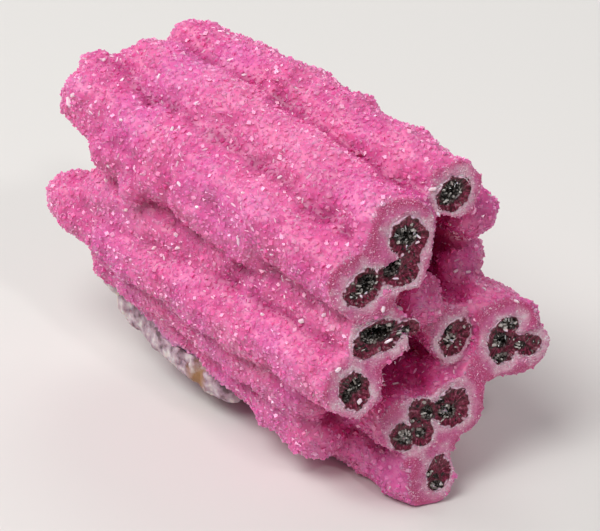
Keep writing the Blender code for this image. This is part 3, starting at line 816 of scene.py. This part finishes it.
corners = []
for order, height in enumerate(CORNER_HEIGHTS):
    bpy.ops.object.select_all(action="DESELECT")
    length = height + CORNER_ROOT
    bpy.ops.mesh.primitive_cone_add(vertices=3, radius1=CORNER_RADIUS, radius2=0.0, depth=length)
    corner = bpy.context.object
    corner.name = "rhomb_corner_" + str(order)
    reshape((bpy.ops.transform.translate, {"value": (0.0, 0.0, length / 2 - CORNER_ROOT)}))
    corner.data.materials.append(crystal_pink)
    corners.append(corner)


def collection_of(name, members):
    """Put template objects in a collection of their own, out of the scene."""
    collection = bpy.data.collections.new(name)
    for member in members:
        collection.objects.link(member)
        bpy.context.collection.objects.unlink(member)
    return collection


def scattered(name, ground, crystals, spacing, sizes, tilt, mask, seed, x_range=(-1.0, 1.0)):
    """Stand crystals on a mesh where its mask is high, along its growth direction, as one joined mesh."""
    tree = bpy.data.node_groups.new(name + "_scatter", "GeometryNodeTree")
    tree.interface.new_socket("Geometry", in_out="INPUT", socket_type="NodeSocketGeometry")
    tree.interface.new_socket("Geometry", in_out="OUTPUT", socket_type="NodeSocketGeometry")
    source = node(tree, "GeometryNodeObjectInfo", {"Object": ground}).outputs["Geometry"]
    density = node(tree, "GeometryNodeInputNamedAttribute", {"Name": mask}, data_type="FLOAT")
    points = node(tree, "GeometryNodeDistributePointsOnFaces", {
        "Mesh": source, "Distance Min": spacing, "Density Max": 3.0 / spacing ** 2,
        "Density Factor": density, "Seed": seed}, distribute_method="POISSON")
    place = node(tree, "GeometryNodeInputPosition")
    across = node(tree, "ShaderNodeSeparateXYZ", {"Vector": place}).outputs["X"]
    below = node(tree, "ShaderNodeMath", {0: across, 1: x_range[0]}, operation="LESS_THAN")
    above = node(tree, "ShaderNodeMath", {0: across, 1: x_range[1]}, operation="GREATER_THAN")
    beyond = node(tree, "ShaderNodeMath", {0: below, 1: above}, operation="MAXIMUM")
    kept = node(tree, "GeometryNodeDeleteGeometry", {"Geometry": points, "Selection": beyond},
                domain="POINT")
    growth = node(tree, "GeometryNodeInputNamedAttribute", {"Name": "growth"}, data_type="FLOAT_VECTOR")
    lean = node(tree, "FunctionNodeRandomValue", {
        "Min": (-tilt, -tilt, -tilt), "Max": (tilt, tilt, tilt), "Seed": seed + 1},
        data_type="FLOAT_VECTOR")
    direction = node(tree, "ShaderNodeVectorMath", {0: growth, 1: lean}, operation="ADD")
    stand = node(tree, "FunctionNodeAlignRotationToVector", {"Vector": direction}, axis="Z")
    turn = node(tree, "FunctionNodeRandomValue", {
        "Min": (0.0, 0.0, 0.0), "Max": (0.0, 0.0, math.tau), "Seed": seed + 2}, data_type="FLOAT_VECTOR")
    spin = node(tree, "FunctionNodeEulerToRotation", {"Euler": turn})
    turned = node(tree, "FunctionNodeRotateRotation", {"Rotation": stand, "Rotate By": spin},
                  rotation_space="LOCAL")
    size = node(tree, "FunctionNodeRandomValue", {
        2: sizes[0] * MM, 3: sizes[1] * MM, "Seed": seed + 3}, data_type="FLOAT")
    kinds = node(tree, "GeometryNodeCollectionInfo", {
        "Collection": crystals, "Separate Children": True, "Reset Children": True})
    stood = node(tree, "GeometryNodeInstanceOnPoints", {
        "Points": kept, "Instance": kinds, "Pick Instance": True, "Rotation": turned, "Scale": size})
    chance = node(tree, "FunctionNodeRandomValue", {2: 0.0, 3: 1.0, "Seed": seed + 4}, data_type="FLOAT")
    shaded = node(tree, "GeometryNodeStoreNamedAttribute", {
        "Geometry": stood, "Name": "shade", "Value": chance}, data_type="FLOAT", domain="INSTANCE")
    real = node(tree, "GeometryNodeRealizeInstances", {"Geometry": shaded})
    node(tree, "NodeGroupOutput", {"Geometry": real})

    bpy.ops.object.select_all(action="DESELECT")
    bpy.ops.mesh.primitive_plane_add(size=MM)
    crop = bpy.context.object
    crop.name = name
    grower = crop.modifiers.new("grower", "NODES")
    grower.node_group = tree
    apply_modifiers(crop)
    return crop


corner_collection = collection_of("rhomb_corners", corners)
places, normals = skin_of(body)
end_face = numbers_of(body.data.attributes["end_face"].data, "value", 1)
end_rim = numbers_of(body.data.attributes["end_rim"].data, "value", 1)
matrix_near = numbers_of(body.data.attributes["matrix_near"].data, "value", 1)
druse_cover = (1.0 - np.clip(end_face * BARE_END, 0.0, 1.0)) * (places[:, 2] > FLOOR_GAP)
druse_cover = druse_cover * (matrix_near < BARE_MATRIX)
write_attribute(body.data, "druse_cover", druse_cover)
write_attribute(body.data, "growth", normals)
low_end = cad_low[0] - MM
stretch_length = (cad_high[0] + MM - low_end) / DRUSE_PARTS
for part in range(DRUSE_PARTS):
    low_x = low_end + part * stretch_length
    druse = scattered(
        "druse_crystals_" + str(part + 1), body, corner_collection, DRUSE_SPACING, DRUSE_SIZES,
        DRUSE_TILT, "druse_cover", 11, (low_x, low_x + stretch_length))
    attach(druse, "root")


# The larger rhombs.
# Here and there a whole rhomb stands out of the druse, a little paler, each with one corner up.
RHOMB_SPACING = 0.62 * MM
RHOMB_SIZES = (0.20, 0.42)
RHOMB_TILT = 0.5
RHOMB_STRETCHES = (0.55, 0.80)
CUBE_CORNER_ANGLE = math.atan(math.sqrt(2.0))

rhombs = []
for order, stretch in enumerate(RHOMB_STRETCHES):
    bpy.ops.object.select_all(action="DESELECT")
    bpy.ops.mesh.primitive_cube_add(size=1.0)
    rhomb = bpy.context.object
    rhomb.name = "rhomb_" + str(order)
    reshape(
        (bpy.ops.transform.rotate, {
            "value": math.radians(45.0), "orient_axis": "Z", "center_override": (0.0, 0.0, 0.0)}),
        (bpy.ops.transform.rotate, {
            "value": CUBE_CORNER_ANGLE, "orient_axis": "X", "center_override": (0.0, 0.0, 0.0)}),
        (bpy.ops.transform.resize, {"value": (1.0, 1.0, stretch), "center_override": (0.0, 0.0, 0.0)}),
    )
    rhomb.data.materials.append(crystal_pink)
    rhombs.append(rhomb)
rhomb_collection = collection_of("rhombs", rhombs)
large_rhombs = scattered("large_rhombs", body, rhomb_collection, RHOMB_SPACING, RHOMB_SIZES, RHOMB_TILT,
                         "druse_cover", 21)
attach(large_rhombs, "root")


# The teeth of the broken ends.
# Where a finger snapped, the outer edge of its crust shows as a fringe of small pale rhombs.
TOOTH_SPACING = 0.17 * MM
TOOTH_SIZES = (0.14, 0.30)
TOOTH_TILT = 0.9
TOOTH_RIM = 0.3            # teeth stand where the rim of a broken end is this marked

write_attribute(body.data, "tooth_cover", (end_rim > TOOTH_RIM) * (places[:, 2] > FLOOR_GAP))
teeth = scattered("rim_teeth", body, corner_collection, TOOTH_SPACING, TOOTH_SIZES, TOOTH_TILT,
                  "tooth_cover", 31)
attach(teeth, "root")


# The grains of the broken ends.
# The snapped fibres of the crust end in fine pale grains, whitest beside the core.
GRAIN_SPACING = 0.15 * MM
GRAIN_SIZES = (0.16, 0.32)
GRAIN_TILT = 0.9
GRAIN_RISE = (0.3, 0.7)    # grains start and are all there at these shares of a broken end

broken_calcite, tree, shader = new_material("broken_calcite_fibres")
# Freshly broken calcite: whitish where the fibres are thin, pink towards the outside, with a soft gloss
coords = node(tree, "ShaderNodeTexCoord").outputs["Object"]
shade_value = node(tree, "ShaderNodeAttribute", attribute_name="shade").outputs["Fac"]
inner_grain = node(tree, "ShaderNodeValToRGB", {"Fac": shade_value},
                   stops=[(0.0, "#DB96B2"), (0.7, "#EFC3D3"), (1.0, "#FBEAF0")])
outer_grain = node(tree, "ShaderNodeValToRGB", {"Fac": shade_value},
                   stops=[(0.0, "#CB4A84"), (0.8, "#E27DAA"), (1.0, "#F3BDD3")])
grain_colour = node(tree, "ShaderNodeMix", {
    0: away_from_core(tree, coords), 6: inner_grain, 7: outer_grain}, data_type="RGBA")
feed(tree, shader, {
    "Base Color": grain_colour, "Roughness": 0.32, "IOR": 1.6, "Subsurface Weight": 0.5,
    "Subsurface Radius": (1.0, 0.6, 0.75), "Subsurface Scale": 0.2 * MM})

grain_shapes = []
for corner in corners[:2]:
    grain_shape = corner.copy()
    grain_shape.data = corner.data.copy()
    grain_shape.name = corner.name.replace("rhomb", "grain")
    grain_shape.data.materials[0] = broken_calcite
    bpy.context.collection.objects.link(grain_shape)
    grain_shapes.append(grain_shape)
grain_cover = smooth_step(end_face, *GRAIN_RISE) * (places[:, 2] > FLOOR_GAP)
write_attribute(body.data, "grain_cover", grain_cover)
grains = scattered("broken_grains", body, collection_of("grain_shapes", grain_shapes), GRAIN_SPACING,
                   GRAIN_SIZES, GRAIN_TILT, "grain_cover", 35)
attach(grains, "root")


# The pale needles: painted highlights.
# Thin blades of calcite lie on the druse, mostly across the fingers; their whitish colour is painted
# highlight for streaks of light on crystal edges.
NEEDLE_SPACING = 0.80 * MM
NEEDLE_SIZES = (0.35, 0.75)
NEEDLE_TILT = 0.25
# Shares of a needle's size: width and thickness of each kind, half its length, and its pointed end
NEEDLE_SECTIONS = ((0.26, 0.22), (0.38, 0.26))
NEEDLE_HALF_LENGTH = 0.55
NEEDLE_TIP = 0.225
NEEDLE_LIE = math.radians(80.0)
CLUMP_SIZE = 4.0           # needles stand in clumps about this far apart in mm
CLUMP_RISE = (-0.25, 0.35)

highlight_calcite, tree, shader = new_material("pale_calcite_blades")
# Calcite with a glassy skin, coloured whitish pink as a painted highlight, brightest where a face turns to
# the light
shade_value = node(tree, "ShaderNodeAttribute", attribute_name="shade").outputs["Fac"]
highlight_colour = node(tree, "ShaderNodeValToRGB", {"Fac": shade_value},
                   stops=[(0.0, "#E386B2"), (0.6, "#EC9FC2"), (1.0, "#F6D3E2")])
feed(tree, shader, {
    "Base Color": highlight_colour, "Roughness": 0.35, "IOR": 1.6, "Subsurface Weight": 0.4,
    "Subsurface Radius": (1.0, 0.6, 0.8), "Subsurface Scale": 0.3 * MM})


def raise_point(shape, cap, rise):
    """Raise the middle of a cap along z to a point and give the point."""
    tip = bmesh.ops.poke(shape, faces=[cap])["verts"][0]
    tip.co.z += rise
    return tip


needles = []
for order, (width, thickness) in enumerate(NEEDLE_SECTIONS):
    bpy.ops.object.select_all(action="DESELECT")
    bpy.ops.mesh.primitive_cylinder_add(vertices=4, radius=0.5, depth=1.0, end_fill_type="NGON")
    needle = bpy.context.object
    needle.name = "needle_" + str(order)
    reshape((bpy.ops.transform.resize, {
        "value": (width, thickness, NEEDLE_HALF_LENGTH), "center_override": (0.0, 0.0, 0.0)}))
    shape = bmesh.new()
    shape.from_mesh(needle.data)
    for cap in [face for face in shape.faces if abs(face.normal.z) > 0.9]:
        raise_point(shape, cap, math.copysign(NEEDLE_TIP, cap.normal.z))
    bmesh.ops.rotate(shape, cent=(0.0, 0.0, 0.0), matrix=Matrix.Rotation(NEEDLE_LIE, 3, "Y"),
                     verts=shape.verts[:])
    shape.to_mesh(needle.data)
    shape.free()
    needle.data.materials.append(highlight_calcite)
    needles.append(needle)

clumps = roughness_of(places, CLUMP_SIZE, 5.0)
write_attribute(body.data, "needle_cover", druse_cover * smooth_step(clumps, *CLUMP_RISE))
blades = scattered("pale_needles", body, collection_of("needles", needles), NEEDLE_SPACING, NEEDLE_SIZES,
                   NEEDLE_TILT, "needle_cover", 41)
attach(blades, "root")


# The dark crystals.
# Glassy black and grey crystals stand in each cavity of a core and point at its middle; the near-white ones
# are painted glints.
DARK_SPACING = 0.21 * MM
DARK_SIZES = (0.26, 0.56)
DARK_TILT = 0.5
# Shares of a crystal's size: half width of a prism, how far its middle is raised and its pointed end
PRISM_RADIUS = 0.17
PRISM_RISE = 0.2
PRISM_TIP = 0.22
BLOCK_STRETCH = (1.9, 1.3, 0.6)

dark_glass, tree, shader = new_material("dark_glassy_crystals")
# Crystals with a glass shine: greenish black for most, grey for the clearer ones, and near white, as painted
# glints, for the palest
shade_value = node(tree, "ShaderNodeAttribute", attribute_name="shade").outputs["Fac"]
paleness_value = node(tree, "ShaderNodeAttribute", attribute_name="paleness").outputs["Fac"]
pale_share = node(tree, "ShaderNodeMath", {0: paleness_value, 1: 0.45}, operation="MULTIPLY")
both = node(tree, "ShaderNodeMath", {0: shade_value, 1: pale_share}, operation="ADD")
dark_tone_and_glint = node(tree, "ShaderNodeValToRGB", {"Fac": both},
                   stops=[(0.40, "#221A19"), (0.65, "#463D3A"), (0.88, "#877D78"), (1.0, "#C4BDB8")])
feed(tree, shader, {"Base Color": dark_tone_and_glint, "Roughness": 0.17, "IOR": 1.6})

bpy.ops.object.select_all(action="DESELECT")
bpy.ops.mesh.primitive_cylinder_add(
    vertices=6, radius=PRISM_RADIUS, depth=1.0, location=(0.0, 0.0, PRISM_RISE))
prism = bpy.context.object
prism.name = "prism"
bpy.ops.object.transform_apply(location=True)
shape = bmesh.new()
shape.from_mesh(prism.data)
raise_point(shape, max(shape.faces, key=lambda face: face.calc_center_median().z), PRISM_TIP)
shape.to_mesh(prism.data)
shape.free()
prism.data.materials.append(dark_glass)
block = prism.copy()
block.data = prism.data.copy()
block.name = "block"
bpy.context.collection.objects.link(block)
pick(block)
reshape((bpy.ops.transform.resize, {"value": BLOCK_STRETCH, "center_override": (0.0, 0.0, 0.0)}))
prism_collection = collection_of("prisms", [prism, block])
for order, core in enumerate(core_pieces):
    crystals = scattered(core.name.replace("_crust", "_crystals"), core, prism_collection, DARK_SPACING,
                         DARK_SIZES, DARK_TILT, "crystal_cover", 51 + order)
    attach(crystals, "root")


# The matrix.
# A strip of the rock that the fingers grew on: fine-grained, white to cream, with a tan and a dark patch.
MATRIX_VOXEL = 0.16 * MM
MATRIX_SMOOTHING_STEPS = 3
MATRIX_SWELL = 0.04 * MM
MATRIX_RISE = 1.05 * MM
# Lumps, as in the table of the fingers
MATRIX_RELIEF = {
    "matrix_lumps": ("CLOUDS", 1.5, 0.30, 0.5),
    "matrix_grain": ("CLOUDS", 0.45, 0.26, 0.5),
}
# Patches by place in mm: middle, reach and colour
MATRIX_PATCHES = {
    "tan_patch": ((-2.41, -6.95, 3.3), 1.95, "#A0744C"),
    "dark_spot": ((-11.13, -6.75, 4.89), 0.9, "#3A2B2C"),
    "cream_lump": ((-14.24, -6.55, 5.14), 1.8, "#EADFCF"),
    "white_tip": ((2.62, -6.75, 2.44), 1.1, "#E9DFDC"),
}
PATCH_FRAY = 1.6 * MM      # how far the bands move the border of a patch

matrix = duplicate_of("matrix_crust", "pale_rock")
even_out(matrix, MATRIX_VOXEL, MATRIX_SMOOTHING_STEPS)
add_relief(matrix, MATRIX_RELIEF)
apply_modifiers(matrix)
# It swells a little all round and rises on its upper side, where the druse grew down over it
places, normals = skin_of(matrix)
places += MATRIX_SWELL * normals
places[:, 2] += MATRIX_RISE * smooth_step(normals[:, 2], -0.1, 0.5)
places[:, 2] = np.maximum(places[:, 2], 0.02 * MM)
move_vertices(matrix, places)
bpy.ops.object.shade_smooth()

rock, tree, shader = new_material("pale_fine_grained_matrix")
# Chalky rock: matt white and lilac grey in bands, stained tan and nearly black in two places
coords = node(tree, "ShaderNodeTexCoord").outputs["Object"]
bands = node(tree, "ShaderNodeTexNoise", {"Vector": coords, "Scale": 1.0 / (0.9 * MM), "Detail": 5.0})
colour = node(tree, "ShaderNodeValToRGB", {"Fac": bands},
              stops=[(0.34, "#6E575C"), (0.44, "#AC8C9B"), (0.55, "#C6AFB8"), (0.68, "#E2D8D4")])
for middle, reach, hex_colour in MATRIX_PATCHES.values():
    away = node(tree, "ShaderNodeVectorMath", {0: coords, 1: [value * MM for value in middle]},
                operation="DISTANCE").outputs["Value"]
    frayed = node(tree, "ShaderNodeMath", {0: bands, 1: PATCH_FRAY, 2: away}, operation="MULTIPLY_ADD")
    share = node(tree, "ShaderNodeMapRange", {
        "Value": frayed, "From Min": (reach + 0.9) * MM, "From Max": (reach + 0.2) * MM})
    colour = node(tree, "ShaderNodeMix", {0: share, 6: colour, 7: linear(hex_colour)}, data_type="RGBA")
rock_grain = node(tree, "ShaderNodeTexNoise", {"Vector": coords, "Scale": 1.0 / (0.25 * MM), "Detail": 2.0})
bump = node(tree, "ShaderNodeBump", {"Height": rock_grain, "Strength": 0.5, "Distance": 0.08 * MM})
feed(tree, shader, {
    "Base Color": colour, "Normal": bump, "Roughness": 0.6, "Subsurface Weight": 0.2,
    "Subsurface Scale": 0.4 * MM})
matrix.data.materials.append(rock)
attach(matrix, "root")
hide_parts("matrix_crust")


# The white flecks: painted glints.
# Near-white crystals stand on the druse and in the cores where glints shine; their near-white colour is
# painted highlight.
# Each is given by its middle in the picture, its length and width in pixels and its turn in degrees.
BODY_GLINT_FLECKS = [
    (122, 80, 5, 3, 20), (159, 76, 6, 3, 70), (228, 34, 4, 3, 0), (231, 60, 7, 3, 20), (197, 103, 5, 3, 10),
    (172, 129, 5, 3, 60), (121, 120, 4, 3, 0), (107, 181, 5, 4, 0), (104, 60, 4, 3, 30), (280, 177, 5, 3, 40),
    (243, 193, 4, 3, 0), (179, 184, 6, 3, -60), (197, 207, 4, 3, 0), (244, 75, 4, 3, 50),
    (176, 235, 5, 4, -30), (69, 102, 9, 6, 70), (73, 95, 6, 4, 20), (264, 316, 9, 3, -40),
    (302, 321, 6, 5, 30), (324, 315, 4, 4, 0), (338, 370, 6, 4, 60), (433, 189, 7, 4, -10),
    (438, 214, 4, 4, 0), (400, 308, 6, 4, 0), (383, 309, 6, 4, 60), (516, 301, 5, 3, 0),
    (238, 240, 10, 3, -80), (126, 210, 4, 3, 0), (154, 248, 4, 4, 80), (178, 248, 6, 3, 0),
    (456, 271, 5, 3, 10), (468, 272, 5, 3, 0), (484, 289, 4, 3, 0), (108, 166, 3, 3, 0),
]
CORE_GLINT_FLECKS = [
    (440.3, 410.3, 14, 7, 5), (388.5, 341.0, 8, 3, 18), (370.8, 332.0, 3, 3, 0), (345.5, 391.5, 7, 4, -30),
    (438.5, 398.5, 6, 4, 30), (511.0, 322.0, 6, 4, 20), (418.5, 236.5, 6, 2, -25), (415.0, 231.0, 7, 2, 60),
    (405.5, 228.0, 6, 2, 100), (399.0, 240.5, 4, 3, 0), (417.0, 242.5, 6, 2, 25), (407.0, 247.5, 5, 2, 90),
    (396.0, 278.5, 6, 2, 15), (358.0, 288.0, 3, 3, 0), (361.0, 296.0, 3, 3, 0), (366.0, 293.0, 4, 2, 40),
    (447.5, 336.5, 5, 3, 60), (451.5, 341.0, 4, 3, 0), (359.5, 401.5, 6, 4, 40), (404.0, 438.0, 6, 3, 20),
    (434.0, 486.0, 4, 3, 0), (440.0, 483.0, 3, 3, 0), (441.5, 185.0, 3, 2, 0), (457.0, 183.0, 2, 2, 0),
    (446.0, 201.0, 2, 2, 0), (383.0, 333.5, 3, 2, 0), (429.0, 408.0, 3, 4, 0), (506.0, 330.0, 4, 3, 0),
]
PIXEL = 0.09 * MM
FLECK_LIFT = 0.25          # share of its width that a fleck is lifted towards the eye
FLECK_LEAN = 0.3
FLECK_THICKNESS = 0.7      # share of its width
FLECK_POINTED = 1.4        # its points make a fleck about this many times as long
POINT_HEIGHT = (0.15, 0.4)
POINT_SHIFT = 0.2
SKEW = (0.5, 0.3)

glint_calcite, tree, shader = new_material("clear_white_calcite")
# Painted highlight: nearly white, scattering a little, with a wet shine
feed(tree, shader, {
    "Base Color": linear("#F5D9E5"), "Roughness": 0.12, "IOR": 1.66, "Subsurface Weight": 0.3,
    "Subsurface Scale": 0.2 * MM})


def flecks_on(name, ground_tree, flecks, seed):
    """Stand near-white crystals, as painted glints, where rays through the picture meet a surface, joined as
    one piece.
    """
    draw = random.Random(seed)
    made = []
    for column, row, length, width, turn in flecks:
        direction = ray_of(column, row)
        hit, _, _, _ = ground_tree.ray_cast(camera.location, direction)
        if not hit:
            continue
        bpy.ops.object.select_all(action="DESELECT")
        bpy.ops.mesh.primitive_cylinder_add(vertices=6, radius=0.5, depth=1.0)
        fleck = bpy.context.object
        shape = bmesh.new()
        shape.from_mesh(fleck.data)
        for cap in [face for face in shape.faces if abs(face.normal.z) > 0.9]:
            tip = raise_point(shape, cap, math.copysign(draw.uniform(*POINT_HEIGHT), cap.normal.z))
            tip.co.x += draw.uniform(-POINT_SHIFT, POINT_SHIFT)
        spin = Matrix.Rotation(draw.uniform(0.0, math.tau), 4, "Z")
        along = camera_right * math.cos(math.radians(turn)) + camera_up * math.sin(math.radians(turn))
        along = (along + camera_back * draw.uniform(-FLECK_LEAN, FLECK_LEAN)).normalized()
        across = along.cross(camera_back).normalized()
        depth = across.cross(along)
        axes = Matrix((across, depth, along)).transposed().to_4x4()
        skew = Matrix.Identity(4)
        skew[0][2] = draw.uniform(-SKEW[0], SKEW[0])
        skew[1][2] = draw.uniform(-SKEW[1], SKEW[1])
        wide = width * PIXEL
        size = Matrix.Diagonal((wide, wide * FLECK_THICKNESS, length * PIXEL / FLECK_POINTED, 1.0)) @ skew
        place = Matrix.Translation(hit - direction * width * PIXEL * FLECK_LIFT)
        bmesh.ops.transform(shape, matrix=place @ axes @ size @ spin, verts=shape.verts[:])
        shape.to_mesh(fleck.data)
        shape.free()
        fleck.data.materials.append(glint_calcite)
        made.append(fleck)
    pick(made[0])
    for fleck in made:
        fleck.select_set(True)
    bpy.ops.object.join()
    joined = bpy.context.object
    joined.name = name
    reshape((bpy.ops.mesh.normals_make_consistent, {"inside": False}))
    return joined


body_glint_flecks = flecks_on("white_flecks", surface_tree(body.data), BODY_GLINT_FLECKS, 3)
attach(body_glint_flecks, "root")
core_glint_flecks = flecks_on("core_glints", core_tree, CORE_GLINT_FLECKS, 4)
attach(core_glint_flecks, "root")
